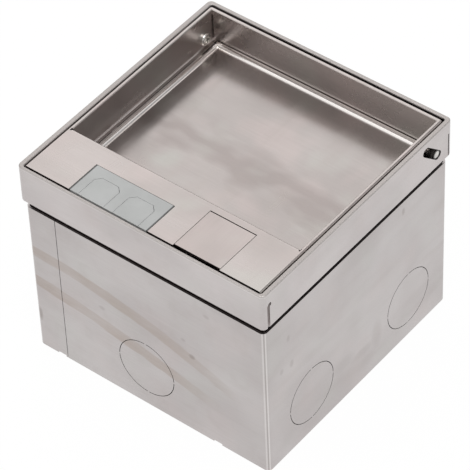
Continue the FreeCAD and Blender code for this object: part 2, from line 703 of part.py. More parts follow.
def lid_rests():
    """Angles on the collar's inner faces that take the load of the closed lid's side flanges."""
    rest_top = lid_low - S.rest_play
    inner = collar_in - S.rest_depth
    rest = Piece("rest")
    profile = [(inner, rest_top), (inner, rest_top - S.ledge_sheet),
               (collar_in - S.ledge_sheet, rest_top - S.ledge_sheet),
               (collar_in - S.ledge_sheet, rest_top - S.rest_height),
               (collar_in, rest_top - S.rest_height), (collar_in, rest_top)]
    rest.pad("XZ", -S.rest_length, 0, profile)
    group("lid_rests", [rest.body], "x")


def corner_outline(reach, leg):
    """A corner plate: two legs along the walls, the corner itself cut back, and a sloping free edge."""
    return [(reach - S.corner_clear, reach), (reach - leg, reach), (reach, reach - leg),
            (reach, reach - S.corner_clear)]


def levelling_gear():
    """Corner brackets in the box, tapped lugs on the collar, a captive screw with a ring in each corner."""
    bracket = Piece("bracket")
    bracket.pad("XY", bracket_top - S.bracket_sheet, bracket_top, corner_outline(box_in, S.bracket_leg))
    flange_low = bracket_top - S.bracket_flange
    for swap in (False, True):
        wall = rectangle(box_in - S.bracket_leg, box_in - S.corner_clear, box_in - S.bracket_sheet, box_in)
        bracket.pad("XY", flange_low, bracket_top - S.bracket_sheet / 2,
                    [(y, x) for x, y in wall] if swap else wall)
    bracket.cut("XY", bracket_top - S.bracket_sheet - past, bracket_top + past,
                circle(screw_at, screw_at, S.journal_radius + S.running_play))
    group("levelling_brackets", [bracket.body], "xy")

    lug = Piece("lug")
    lug.pad("XY", lug_low, lug_low + S.lug_thickness, corner_outline(collar_in, S.lug_leg))
    lug.cut("XY", lug_low - past, lug_low + S.lug_thickness + past,
            circle(screw_at, screw_at, S.thread_radius + S.running_play))
    group("levelling_lugs", [lug.body], "xy")

    foot = bracket_top - S.bracket_sheet - S.screw_foot
    groove = S.journal_radius - S.clip_groove
    clip_high = bracket_top - S.bracket_sheet - S.fit
    clip_low = clip_high - S.clip_thickness
    head_low = head_top - S.head_height
    for front_back, j in (("front", -1), ("back", 1)):
        for left_right, i in (("left", -1), ("right", 1)):
            corner = front_back + "_" + left_right
            place = (screw_at * i, 0)
            screw = Piece("levelling_screw_" + corner)
            screw.turn("XZ", screw_at * j, place,
                       [(0, foot), (S.journal_radius, foot), (S.journal_radius, clip_low), (groove, clip_low),
                        (groove, clip_high), (S.journal_radius, clip_high), (S.journal_radius, bracket_top),
                        (S.thread_radius, bracket_top), (S.thread_radius, head_low),
                        (S.head_radius, head_low), (S.head_radius, head_top), (0, head_top)])
            screw.cut("XY", head_top - S.hex_depth, head_top + past,
                      hexagon(screw_at * i, screw_at * j, S.hex_flats))
            screw.done()
            clip = Piece("screw_clip_" + corner)
            clip.turn("XZ", screw_at * j, place,
                      [(groove, clip_low), (S.clip_radius, clip_low), (S.clip_radius, clip_high),
                       (groove, clip_high)])
            mouth = rectangle(screw_at * i - groove / 2, screw_at * i + groove / 2,
                              screw_at * j, screw_at * j + S.clip_radius + past)
            clip.cut("XY", clip_low - past, clip_high + past, mouth)
            clip.done()


# ------------------------------------------------------------------------------------------------ lid pivots
def lid_pivots():
    """On each side a pan-head screw through the lid's wall, its lock nut, a flanged roller in the slot."""
    flange_out = frame_in - S.roller_play
    flange_in = flange_out - S.roller_flange
    hub_end = frame_in + S.roller_reach
    nuts = []
    for side, sign in (("left", -1), ("right", 1)):
        spot = circle(S.pivot_y, pivot_z, S.screw_radius)
        screw = Piece("pivot_screw_" + side)
        screw.pad("YZ", *rising(lid_in - S.screw_head, lid_in, side=sign),
                  circle(S.pivot_y, pivot_z, S.screw_head_radius))
        screw.round(S.screw_crown, lambda edge: edge.at(x=(lid_in - S.screw_head) * sign))
        screw.pad("YZ", *rising(lid_in - S.screw_head / 2, hub_end, side=sign), spot)
        for cross_y, cross_z in ((S.cross_length, S.cross_width), (S.cross_width, S.cross_length)):
            screw.cut("YZ", *rising(lid_in - S.screw_head - past, lid_in - S.screw_head / 2, side=sign),
                      rectangle(S.pivot_y - cross_y / 2, S.pivot_y + cross_y / 2,
                                pivot_z - cross_z / 2, pivot_z + cross_z / 2))
        screw.done()
        nut = Piece("nut_" + side)
        nut.pad("YZ", *rising(lid_wall, lid_wall + S.nut_height, side=sign),
                hexagon(S.pivot_y, pivot_z, S.nut_flats), circle(S.pivot_y, pivot_z, S.screw_radius))
        nuts.append(nut.body)
        roller = Piece("pivot_roller_" + side)
        bore = circle(S.pivot_y, pivot_z, S.screw_radius + S.running_play)
        roller.pad("YZ", *rising(flange_in, flange_out, side=sign),
                   circle(S.pivot_y, pivot_z, S.roller_flange_radius))
        roller.pad("YZ", *rising(flange_in + S.roller_flange / 2, hub_end, side=sign),
                   circle(S.pivot_y, pivot_z, S.slot_radius - S.running_play))
        roller.cut("YZ", *rising(flange_in - past, hub_end + past, side=sign), bore)
        roller.done()
    group("pivot_nuts", nuts)


# -------------------------------------------------------------------------------------------------------- lid
def lid_shell():
    """The lid's ring and front strip: doubled rims, in-turned lower flanges, cut-outs, open tray corners."""
    piece = Piece("lid_shell")
    piece.pad("XY", top - S.lid_hem, top, rectangle(-lid_half, lid_half, lid_front, lid_back))
    piece.pad("XY", lid_low, top - S.lid_hem / 2,
              rectangle(-lid_wall, lid_wall, lid_front + S.lid_sheet / 2, back_wall))
    piece.pad("XY", front_wall_low, top - S.lid_hem / 2,
              rectangle(-lid_wall, lid_wall, lid_front, tray_front))
    # the recess for the floor covering, down to the flanges, and the opening between the flanges
    piece.cut("XY", shoulder, top + past, rectangle(-lid_in, lid_in, tray_front, tray_back))
    piece.cut("XY", lid_low + S.lid_sheet, shoulder + past,
              rectangle(-shoulder_in, shoulder_in, tray_front, tray_back))
    piece.cut("XY", lid_low - past, lid_low + S.lid_sheet + past,
              rectangle(-lid_in + S.lid_flange, lid_in - S.lid_flange,
                        tray_front + S.lid_flange, tray_back - S.lid_flange))
    # the side walls step in under the shoulders beside the tray pan
    for sign in (-1, 1):
        start, end = rising(shoulder_in + S.lid_sheet, lid_wall + past, side=sign)
        piece.cut("XY", lid_low - past, shoulder - S.lid_sheet, rectangle(start, end, tray_front, half))
    piece.round(S.lid_bend, lambda edge: edge.at(z=shoulder) and (
        edge.along == "y" and abs(abs(edge.x) - lid_in.number) < 1e-3))
    # the hollow under the strip, and the walls cut back to the front wall's height
    piece.cut("XY", lid_low - past, strip_low,
              rectangle(-lid_in, lid_in, lid_front + S.lid_sheet, tray_front - S.lid_sheet))
    piece.cut("XY", lid_low - past, front_wall_low,
              rectangle(-half, half, -half, tray_front - S.lid_sheet - S.ledge_depth))
    # the outlet's and the pull flap's cut-outs, both open to the front
    outlet = S.outlet_width / 2 + S.outlet_play
    piece.cut("XY", lid_low - past, top + past,
              rectangle(S.outlet_x - outlet, S.outlet_x + outlet, -half, outlet_back + S.outlet_play))
    pull = S.pull_width / 2 + S.pull_gap_side
    piece.cut("XY", well_low, top + past,
              rectangle(S.pull_x - pull, S.pull_x + pull, -half, lid_front + S.lid_sheet + S.fit))
    piece.cut("XY", strip_low - S.fit, top + past,
              rectangle(S.pull_x - pull, S.pull_x + pull, -half, pull_back + S.pull_gap_back))
    # the relief notches between the strip and the side rims, and the tray's open back corners
    for sign in (-1, 1):
        start, end = rising(lid_in - S.fit, lid_in + S.strip_notch, side=sign)
        piece.cut("XY", top - S.strip_notch_depth, top + past,
                  rectangle(start, end, tray_front - S.strip_bend - S.fit, tray_front + S.fit))
    for sign in (-1, 1):
        start, end = rising(lid_in, lid_in - S.corner_slit, side=sign)
        piece.cut("XY", lid_low + S.tray_lip + S.lid_sheet * 2, top - S.hem_depth - S.rim_round,
                  rectangle(start, end, tray_back - past / 2, back_wall + S.fit / 2))
    piece.cut("YZ", -half, half, circle(S.pivot_y, pivot_z, S.screw_radius + S.fit))
    piece.round(S.strip_bend, lambda edge: edge.at(z=top, y=tray_front) and edge.along == "x")
    piece.round(S.lid_corner, lambda edge: upright(edge) and edge.at(y=lid_back))
    piece.round(S.lid_round, lambda edge: edge.at(z=top) and (
        edge.at(y=lid_back) or abs(edge.x) > (lid_half - S.lid_corner / 2).number))
    piece.round(S.rim_round, lambda edge: edge.at(z=top) and (
        edge.at(y=tray_back) or abs(abs(edge.x) - lid_in.number) < 1e-3))
    piece.done()


def tray_pan():
    """The recess's floor: a pan on the lid's flanges, its bent-up edges cut back at the back corners."""
    piece = Piece("tray_pan")
    reach = shoulder_in - S.fit
    front = tray_front + S.tray_end_gap
    back = tray_back - S.tray_end_gap
    low = lid_low + S.lid_sheet
    piece.pad("XY", low, low + S.tray_lip, rectangle(-reach, reach, front, back))
    piece.round(S.tray_bend + S.lid_sheet, lambda edge: edge.at(z=low))
    inside = rectangle(-reach + S.lid_sheet, reach - S.lid_sheet, front + S.lid_sheet, back - S.lid_sheet)
    piece.cut("XY", low + S.lid_sheet, low + S.tray_lip + past, inside)
    piece.round(S.tray_bend, lambda edge: edge.at(z=low + S.lid_sheet))
    for sign in (-1, 1):
        start, end = rising(reach + past, reach - S.lid_sheet, side=sign)
        piece.cut("XY", low + S.lid_sheet * 2, low + S.tray_lip + past,
                  rectangle(start, end, back - S.tray_relief, back - S.lid_sheet))
    piece.done()


def tray_tack_welds():
    """Short beads over the joints between the pan's side lips and the lid's shoulders."""
    beads = []
    for end, middle in (("front", S.weld_front_y), ("back", S.weld_back_y)):
        bead = Piece("bead_" + end)
        bead.pad("XY", shoulder, shoulder + S.weld_rise,
                 rectangle(shoulder_in - S.weld_width / 2, shoulder_in + S.weld_width / 2,
                           middle - S.weld_length / 2, middle + S.weld_length / 2))
        beads.append(bead.body)
    group("tray_tack_welds", beads, "x")


def exit_outline(middle, play, front):
    """A cable exit or its flap: open or straight in front, with two cut corners at the back."""
    width = S.exit_width / 2 - play
    back = exit_end - play
    return [(middle - width, front), (middle + width, front), (middle + width, back - S.exit_corner),
            (middle + width - S.exit_corner, back), (middle - width + S.exit_corner, back),
            (middle - width, back - S.exit_corner)]


def cable_outlet():
    """The grey insert with two exits, the pin through it, and a flap with a hinge barrel in each exit."""
    left, right = S.outlet_x - S.outlet_width / 2, S.outlet_x + S.outlet_width / 2
    insert = Piece("outlet_insert")
    insert.pad("XY", outlet_low, top, rectangle(left, right, lid_front, outlet_back))
    insert.pad("XY", strip_low - S.outlet_clip, strip_low,
               rectangle(left - S.outlet_clip, right + S.outlet_clip,
                         lid_front + S.lid_sheet + S.fit, outlet_back + S.outlet_clip))
    rib = (S.exit_pitch - S.exit_width - S.outlet_wall / 2) / 2
    for start, end in ((left + S.outlet_wall, S.outlet_x - rib), (S.outlet_x + rib, right - S.outlet_wall)):
        insert.cut("XY", outlet_low - past, top - S.outlet_top,
                   rectangle(start, end, lid_front + S.outlet_wall, outlet_back - S.outlet_wall))
    for middle in exit_middles.values():
        insert.cut("XY", outlet_low - past, top + past, exit_outline(middle, 0, lid_front - past))
    insert.cut("YZ", left - past, right + past, circle(exit_pin_y, exit_pin_z, S.exit_pin_radius))
    insert.done()

    pin = Piece("outlet_flap_pin")
    pin.pad("YZ", left + S.fit, right - S.fit, circle(exit_pin_y, exit_pin_z, S.exit_pin_radius))
    pin.done()

    for side, middle in exit_middles.items():
        flap = Piece("outlet_flap_" + side)
        play = S.exit_flap_play
        start, end = middle - S.exit_width / 2 + play, middle + S.exit_width / 2 - play
        barrel_start, barrel_end = start + S.exit_corner, end - S.exit_corner
        flap.pad("XY", top - S.exit_flap_sheet, top, exit_outline(middle, play, lid_front))
        flap.pad("XY", top - S.exit_flap_front, top - S.exit_flap_sheet / 2,
                 rectangle(start, end, lid_front, lid_front + S.exit_flap_sheet))
        flap.pad("YZ", barrel_start, barrel_end, circle(exit_pin_y, exit_pin_z, S.exit_barrel_radius))
        flap.pad("YZ", barrel_start, barrel_end,
                 rectangle(exit_pin_y - S.exit_barrel_radius, exit_pin_y, exit_pin_z,
                           top - S.exit_flap_sheet / 2))
        flap.cut("YZ", start - past, end + past,
                 circle(exit_pin_y, exit_pin_z, S.exit_pin_radius + S.running_play))
        flap.done()


def pull_handle():
    """The square pull flap with two ears, its hinge pin, and the pocket that closes the strip below it."""
    half_width = S.pull_width / 2
    flap = Piece("pull_flap")
    flap.pad("XY", top - S.pull_sheet, top,
             rectangle(S.pull_x - half_width, S.pull_x + half_width, pull_front, pull_back))
    for sign in (-1, 1):
        edge_x = S.pull_x + (half_width - S.pull_gap_side) * sign
        start, end = rising(edge_x, edge_x - S.pull_ear * sign)
        flap.pad("YZ", start, end,
                 rectangle(pull_pin_y - S.pull_ear_length / 2, pull_pin_y + S.pull_ear_length / 2,
                           top - S.pull_sheet - S.pull_ear_height, top - S.pull_sheet / 2))
    flap.cut("YZ", S.pull_x - half_width - past, S.pull_x + half_width + past,
             circle(pull_pin_y, pull_pin_z, S.pull_pin_radius + S.running_play))
    flap.done()

    well = Piece("flap_well")
    inner = well_half - S.well_sheet
    front = lid_front + S.lid_sheet
    back = tray_front - S.lid_sheet - S.fit
    well.pad("XY", well_low, strip_low,
             rectangle(S.pull_x - well_half, S.pull_x + well_half, front, back))
    well.cut("XY", well_low + S.well_sheet, strip_low + past,
             rectangle(S.pull_x - inner, S.pull_x + inner, front + S.well_sheet, back - S.well_sheet))
    well.cut("XY", well_low + S.well_front, strip_low + past,
             rectangle(S.pull_x - inner, S.pull_x + inner, front - past, front + S.well_sheet + past))
    well.cut("YZ", S.pull_x - well_half - past, S.pull_x + well_half + past,
             circle(pull_pin_y, pull_pin_z, S.pull_pin_radius))
    well.done()

    pin = Piece("flap_pin")
    pin.pad("YZ", S.pull_x - well_half, S.pull_x + well_half,
            circle(pull_pin_y, pull_pin_z, S.pull_pin_radius))
    pin.done()


# -------------------------------------------------------------------------------------------- outlets inside
def carrier():
    """A plate with folded edges and three windows, on two C-shaped legs, held by four screws."""
    legs = []
    outer = carrier_half
    inner = outer - S.leg_flange
    leg = Piece("carrier_leg")
    leg.pad("XZ", -S.leg_width / 2, S.leg_width / 2,
            [(outer, S.box_sheet), (outer, carrier_low), (inner, carrier_low),
             (inner, carrier_low - S.carrier_sheet), (outer - S.carrier_sheet, carrier_low - S.carrier_sheet),
             (outer - S.carrier_sheet, S.box_sheet + S.carrier_sheet), (inner, S.box_sheet + S.carrier_sheet),
             (inner, S.box_sheet)])
    hole = S.carrier_screw_radius + S.running_play
    spots = [circle(carrier_screw_x, S.carrier_screw_pitch / 2 * j, hole) for j in (-1, 1)]
    leg.cut("XY", carrier_low - S.carrier_sheet - past, carrier_low + past, *spots)
    legs.append(leg.body)
    group("carrier_legs", legs, "x")

    plate = Piece("carrier_plate")
    reach = S.carrier_depth / 2
    plate.pad("XY", carrier_low, S.carrier_top, rectangle(-outer, outer, -reach, reach))
    for sign in (-1, 1):
        start, end = rising(reach, reach - S.carrier_sheet, side=sign)
        plate.pad("XY", S.carrier_top - S.carrier_lip, S.carrier_top - S.carrier_sheet / 2,
                  rectangle(-outer, outer, start, end))
    window = S.module_body / 2 + S.module_cut_play
    data_window = S.module_body / 2 - S.module / 4 + S.module_cut_play
    for middle, width in zip(module_row, (window, window, data_window)):
        plate.cut("XY", carrier_low - past, S.carrier_top + past,
                  rectangle(middle - width, middle + width, -window, window))
    plate.cut("XY", carrier_low - past, S.carrier_top + past,
              *[circle(carrier_screw_x * i, S.carrier_screw_pitch / 2 * j, hole)
                for i in (-1, 1) for j in (-1, 1)])
    plate.done()

    screw = Piece("carrier_screw")
    shank = S.carrier_screw_radius
    tip = carrier_low - S.carrier_sheet * 2
    crown_level = S.carrier_top + S.cheese_height
    rim_level = crown_level - S.cheese_chamfer
    screw.turn("XZ", S.carrier_screw_pitch / 2, (carrier_screw_x, 0),
               [(0, tip), (shank, tip), (shank, S.carrier_top), (S.cheese_radius, S.carrier_top),
                (S.cheese_radius, rim_level), (S.cheese_radius - S.cheese_chamfer, crown_level),
                (0, crown_level)])
    screw.cut("XY", crown_level - S.slit_depth, crown_level + past,
              rectangle(carrier_screw_x - S.cheese_radius - past, carrier_screw_x + S.cheese_radius + past,
                        (S.carrier_screw_pitch - S.slit_width) / 2,
                        (S.carrier_screw_pitch + S.slit_width) / 2))
    group("carrier_screws", [screw.body], "xy")


def power_socket(side, middle):
    """An earthed outlet: the front half with the round recess, the earth springs, the terminal half."""
    face_top = S.carrier_top + S.module_face
    front_low = S.carrier_top - S.module_front_depth
    back_low = front_low - S.module_back_depth
    face = S.module / 2 - S.module_play / 2
    body = S.module_body / 2
    recess_floor = face_top - S.socket_depth
    front = Piece("socket_front_" + side)
    front.pad("XY", S.carrier_top, face_top, rectangle(middle - face, middle + face, -face, face))
    front.round(S.module_corner, upright)
    front.pad("XY", front_low, S.carrier_top + S.module_face / 2,
              rectangle(middle - body, middle + body, -body, body))
    front.cut("XY", recess_floor, face_top + past, circle(middle, 0, S.socket_radius))
    # the two keys in the recess's side walls and the contact holes in its floor
    for sign in (-1, 1):
        start, end = rising(middle + S.socket_radius * sign, middle + (S.socket_radius - S.key_depth) * sign)
        front.pad("XY", recess_floor, face_top - S.module_face,
                  rectangle(start, end, -S.contact_radius, S.contact_radius))
    front.cut("XY", recess_floor - S.contact_depth, recess_floor + past,
              *[circle(middle + S.contact_pitch / 2 * i, 0, S.contact_radius) for i in (-1, 1)])
    front.done()

    spring_top = face_top - S.module_face / 2
    nose, foot = spring_top - S.spring_nose, spring_top - S.spring_foot
    rear = S.socket_radius - S.earth_sheet
    front_side = rear - S.earth_sheet
    springs = Piece("earth_spring_" + side)
    springs.pad("YZ", middle - S.earth_width / 2, middle + S.earth_width / 2,
                [(front_side, recess_floor), (rear, recess_floor), (rear, foot), (rear - S.spring_bow, nose),
                 (rear, spring_top), (front_side, spring_top), (front_side - S.spring_bow, nose),
                 (front_side, foot)])
    group("earth_springs_" + side, [springs.body], "y")

    back = Piece("socket_back_" + side)
    shell = body - S.module_step
    back.pad("XY", back_low, front_low, rectangle(middle - shell, middle + shell, -shell, shell))
    back.round(S.module_corner, upright)
    for i in (-1, 0, 1):
        back.cut("XZ", -body - past, -body + S.terminal_pitch,
                 circle(middle + S.terminal_pitch * i, (front_low + back_low) / 2, S.wire_radius))
    back.cut("XY", back_low - past, back_low + S.terminal_radius,
             *[circle(middle + S.terminal_pitch * i, -body + S.terminal_pitch / 2, S.terminal_bore)
               for i in (-1, 0, 1)])
    back.done()

    screws = []
    for i in (-1, 0, 1):
        screw = Piece("terminal_%s_%d" % (side, i + 2))
        screw.pad("XY", back_low + S.fit, back_low + S.terminal_radius,
                  circle(middle + S.terminal_pitch * i, -body + S.terminal_pitch / 2, S.terminal_radius))
        screws.append(screw.body)
    return screws


def data_outlet(middle):
    """A narrow face plate and body with two data jacks in it."""
    face_top = S.carrier_top + S.module_face
    face_x = S.module / 4 - S.module_play / 2
    face_y = S.module / 2 - S.module_play / 2
    body_x = S.module_body / 2 - S.module / 4
    body_y = S.module_body / 2
    low = S.carrier_top - S.module_front_depth
    outlet = Piece("data_outlet")
    outlet.pad("XY", S.carrier_top, face_top, rectangle(middle - face_x, middle + face_x, -face_y, face_y))
    outlet.round(S.module_corner, upright)
    outlet.pad("XY", low, S.carrier_top + S.module_face / 2,
               rectangle(middle - body_x, middle + body_x, -body_y, body_y))
    jacks = []
    for j in (-1, 1):
        centre = S.jack_pitch / 2 * j
        play = S.module_cut_play
        outlet.cut("XY", low - past, face_top - S.module_face / 2,
                   rectangle(middle - S.jack_width / 2 - play, middle + S.jack_width / 2 + play,
                             centre - S.jack_length / 2 - play, centre + S.jack_length / 2 + play))
        port = rectangle(middle - S.port_width / 2, middle + S.port_width / 2,
                         centre - S.port_length / 2, centre + S.port_length / 2)
        outlet.cut("XY", face_top - S.module_face, face_top + past, port)
        jack = Piece("jack_%d" % (j + 2))
        jack_top = face_top - S.module_face / 2
        jack.pad("XY", face_top - S.jack_depth, jack_top,
                 rectangle(middle - S.jack_width / 2, middle + S.jack_width / 2,
                           centre - S.jack_length / 2, centre + S.jack_length / 2))
        jack.cut("XY", jack_top - S.port_depth, jack_top + past, port)
        jack.cut("XY", jack_top - S.port_depth, jack_top + past,
                 rectangle(middle - S.latch_width / 2, middle + S.latch_width / 2,
                           centre + S.port_length / 2 - S.fit,
                           centre + S.port_length / 2 + S.latch_depth))
        jacks.append(jack.body)
    outlet.done()
    group("data_jacks", jacks)


def earth_connection():
    """A stud on the box's floor with a washer and a hexagon nut."""
    stud = Piece("earth_stud")
    stud.pad("XY", S.box_sheet, S.box_sheet + S.stud_height, circle(stud_x, stud_y, S.stud_radius))
    stud.round(S.stud_chamfer, lambda edge: edge.at(z=S.box_sheet + S.stud_height), "Chamfer")
    stud.done()
    bore = circle(stud_x, stud_y, S.stud_radius + S.running_play)
    washer = Piece("washer")
    washer.pad("XY", S.box_sheet, S.box_sheet + S.washer_thickness,
               circle(stud_x, stud_y, S.washer_radius), bore)
    nut = Piece("earth_nut")
    nut_low = S.box_sheet + S.washer_thickness
    nut.pad("XY", nut_low, nut_low + S.earth_nut_height, hexagon(stud_x, stud_y, S.earth_nut_flats), bore)
    group("earth_nut_set", [washer.body, nut.body])


base_shell()
seam_strip()
base_floor()
trim_frame()
frame_collar()
lid_ledges()
lid_rests()
levelling_gear()
lid_pivots()
lid_shell()
tray_pan()
tray_tack_welds()
cable_outlet()
pull_handle()
carrier()
terminals = []
for side_name, module_middle in zip(("left", "right"), module_row):
    terminals += power_socket(side_name, module_middle)
group("terminal_screws", terminals)
data_outlet(module_row[2])
earth_connection()

# ------------------------------------------------------------------------------------------- check and export
doc.recompute()
for item in doc.Objects:
    if "Invalid" in item.State or "Error" in item.State:
        raise RuntimeError("%s did not build: %s" % (item.Label, item.State))
for label, node in NODES.items():
    if node.Shape.isNull() or not node.Shape.isValid():
        raise RuntimeError("%s has no valid shape" % label)
os.makedirs("parts", exist_ok=True)
for label, node in NODES.items():
    node.Shape.exportStep(os.path.join("parts", label + ".step"))
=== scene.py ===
import math

import bpy
from mathutils import Matrix, Vector


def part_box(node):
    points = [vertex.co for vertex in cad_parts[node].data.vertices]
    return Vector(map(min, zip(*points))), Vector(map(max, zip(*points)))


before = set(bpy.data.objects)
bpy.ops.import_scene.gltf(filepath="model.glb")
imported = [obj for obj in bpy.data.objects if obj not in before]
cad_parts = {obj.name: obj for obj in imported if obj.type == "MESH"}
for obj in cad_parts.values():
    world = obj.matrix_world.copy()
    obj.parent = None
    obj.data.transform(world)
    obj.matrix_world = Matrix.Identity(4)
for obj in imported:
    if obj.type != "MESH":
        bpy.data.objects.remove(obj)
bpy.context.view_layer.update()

MM = 0.001


# ---------------------------------------------------------------- places on the box, read from the CAD pieces
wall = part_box("base_shell")[1][0]                   # the box's outer walls, from the middle
rim_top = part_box("trim_frame")[1][2]
tray_low, tray_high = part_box("tray_pan")
tray_side, tray_back = tray_high[0], tray_high[1]
tray_floor = tray_low[2] + 1.0 * MM                 # the pan's sheet is 1 mm
insert_low, insert_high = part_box("outlet_insert")   # its plate, with a ledge of 1.5 mm under the lid
insert_middle = (insert_low[0] + insert_high[0]) / 2
dirt_and_shade_sides = (insert_high[0] - insert_low[0]) / 2 - 2.0 * MM   # 0.5 mm in from the plate's side edges
dirt_and_shade_back = insert_high[1] - 1.0 * MM                          # on the ledge behind the plate, under the lid

# Bands of tape residue on the front wall: height at the left corner, slope, sag for each metre of run,
# half width, and how far right of the middle the band starts to fade.
TAPE_BANDS = ((62.6 * MM, 0.0, 1.7, 3.0 * MM, 22 * MM),
              (44.0 * MM, 0.1, 0.7, 2.9 * MM, 12 * MM))
TAPE_FADE = 32 * MM

# Small dull marks: place across and up the wall and half lengths, all in mm, and strength.
FRONT_MARKS = ((26.3, 50.0, 1.9, 1.6, 0.42), (-26.5, 49.1, 2.0, 1.3, 0.22), (21.6, 58.2, 1.5, 1.1, 0.22),
               (36.0, 82.0, 2.0, 1.2, 0.20), (-66.2, 21.0, 1.6, 4.5, 0.45))
RIGHT_MARKS = ((-51.8, 74.6, 1.2, 2.2, 0.22), (-49.9, 56.7, 1.5, 2.4, 0.25), (-57.2, 57.2, 1.4, 1.8, 0.22),
               (34.3, 84.5, 1.2, 2.4, 0.35), (13.7, 21.6, 4.0, 9.0, 0.14), (2.0, 18.5, 8.0, 3.0, 0.14),
               (-12.1, 23.0, 9.0, 4.0, 0.12))

# Painted highlights up a vertical bend, two light stripes and a painted dark line between them: start and
# end around the bend from its middle, colour, strength.
PAINTED_BEND_STRIPES = ((-1.3 * MM, -0.7 * MM, "#FBF8F6", 0.30),
                (0.7 * MM, 1.1 * MM, "#FBF8F6", 0.40),
                (-0.2 * MM, 0.2 * MM, "#8F8884", 0.35))


# --------------------------------------------------------------------------------- nodes, patterns and layers
def linear(code):
    """An sRGB hex code as linear red, green, blue, alpha."""
    parts = [int(code[i:i + 2], 16) / 255 for i in (1, 3, 5)]
    return tuple(c / 12.92 if c <= 0.04045 else ((c + 0.055) / 1.055) ** 2.4 for c in parts) + (1.0,)


def add(tree, kind, inputs=(), **settings):
    """Add a shader node with its settings and links.  The inputs go by name or number, or in their order.
    Each is a node, whose first output is linked, or an output, a colour's hex code or a plain value."""
    node = tree.nodes.new("ShaderNode" + kind)
    for name, value in settings.items():
        setattr(node, name, value)
    for name, value in inputs.items() if isinstance(inputs, dict) else enumerate(inputs):
        if isinstance(value, bpy.types.Node):
            value = value.outputs[0]
        if isinstance(value, bpy.types.NodeSocket):
            tree.links.new(value, node.inputs[name])
        else:
            node.inputs[name].default_value = linear(value) if isinstance(value, str) else value
    return node


def new_material(name):
    """A material without nodes; returns the material and its tree."""
    material = bpy.data.materials.new(name)
    material.use_nodes = True
    tree = material.node_tree
    tree.nodes.clear()
    return material, tree


def mottling(tree, place, size_mm, detail=2.0, roughness=0.5, stretch=(1, 1, 1), turn=(0, 0, 0),
             shift=(0, 0, 0)):
    """Soft patches of size_mm, drawn out along the axes by stretch, as a grey from about 0.3 to 0.7."""
    scale = [1 / (size_mm * MM * drawn) for drawn in stretch]
    mapped = add(tree, "Mapping", {"Vector": place, "Location": shift, "Rotation": turn, "Scale": scale})
    return add(tree, "TexNoise", {"Vector": mapped, "Scale": 1.0, "Detail": detail, "Roughness": roughness})


def stripe(tree, value, low, high, soft):
    """1 where the value lies from low to high, fading to 0 over soft on both sides."""
    rise = add(tree, "MapRange", (value, low - soft, low, 0, 1))
    fall = add(tree, "MapRange", (value, high, high + soft, 1, 0))
    return add(tree, "Math", (rise, fall), operation="MULTIPLY")


def lay_over(tree, ground, *layers):
    """The ground colour under layers of (share, colour); a layer covers all where its share is 1.  A Mix node
    for colours takes its factor at input 0 and the colours at 6 and 7, and gives the result at output 2."""
    for share, colour in layers:
        ground = add(tree, "Mix", {0: share, 6: ground, 7: colour}, data_type="RGBA").outputs[2]
    return ground


# ------------------------------------------------------------------------------- marks on the stainless sheet
def smudges(tree, across, up, face, metal, marks):
    """Small dull marks on a face, each a soft ellipse; reach is the squared distance from its middle, and 1
    on the ellipse."""
    flat = add(tree, "CombineXYZ", (across, up))
    for middle, height, half_length, half_height, strength in marks:
        centred = add(tree, "Mapping", {"Vector": flat,
                                        "Location": (-middle / half_length, -height / half_height, 0),
                                        "Scale": (1 / (half_length * MM), 1 / (half_height * MM), 0)})
        reach = add(tree, "VectorMath", (centred, centred), operation="DOT_PRODUCT").outputs["Value"]
        spot = add(tree, "MapRange", (reach, 0.2, 1.3, strength, 0))
        metal = lay_over(tree, metal, (add(tree, "Math", (spot, face), operation="MULTIPLY"), "#7F756F"))
    return metal


def box_marks(tree, place, metal, gloss):
    """Bands of residue where tape ran over the front wall, slanting down to the right and fading out, a few
    small dull marks, and painted highlights up the four vertical bends, with a painted dark line in their
    middle."""
    x, y, z = add(tree, "SeparateXYZ", (place,)).outputs
    ragged = mottling(tree, place, 7, 3.0, 0.6, (4, 1, 1))
    patchy = add(tree, "MapRange", (ragged, 0.3, 0.6, 0.5, 1))
    front = add(tree, "MapRange", (y, -wall + 0.6 * MM, -wall + 0.2 * MM, 0, 1))
    right = add(tree, "MapRange", (x, wall - 0.6 * MM, wall - 0.2 * MM, 0, 1))
    run = add(tree, "Math", (x, wall), operation="ADD")
    for height, slope, sag, half_width, fade_start in TAPE_BANDS:
        steepness = add(tree, "Math", (run, sag, slope), operation="MULTIPLY_ADD")
        raised = add(tree, "Math", (run, steepness, z), operation="MULTIPLY_ADD")
        wander = add(tree, "MapRange", (ragged, 0.3, 0.7, -height - 0.7 * MM, -height + 0.7 * MM))
        offset = add(tree, "Math", (raised, wander), operation="ADD")
        band = stripe(tree, offset, -half_width, half_width, 0.8 * MM)
        fade = add(tree, "MapRange", (x, fade_start, fade_start + TAPE_FADE, 0.62, 0))
        for part in (front, fade, patchy):
            band = add(tree, "Math", (band, part), operation="MULTIPLY")
        metal = lay_over(tree, metal, (band, "#A99C93"))
    metal = smudges(tree, x, z, front, metal, FRONT_MARKS)
    metal = smudges(tree, y, z, right, metal, RIGHT_MARKS)
    far_x = add(tree, "Math", (x,), operation="ABSOLUTE")
    far_y = add(tree, "Math", (y,), operation="ABSOLUTE")
    outwards = add(tree, "Math", (far_x, far_y), operation="ADD")
    around = add(tree, "Math", (far_x, far_y), operation="SUBTRACT")
    corner = add(tree, "MapRange", (outwards, 2 * wall - 2.4 * MM, 2 * wall - 2.0 * MM, 0, 1))
    # painted highlight: light stripes up each vertical bend with a painted dark line between them
    for start, end, colour, strength in PAINTED_BEND_STRIPES:
        drawn = add(tree, "Math", (stripe(tree, around, start, end, 0.5 * MM), corner), operation="MULTIPLY")
        metal = lay_over(tree, metal, (add(tree, "Math", (drawn, strength), operation="MULTIPLY"), colour))
    return metal, gloss


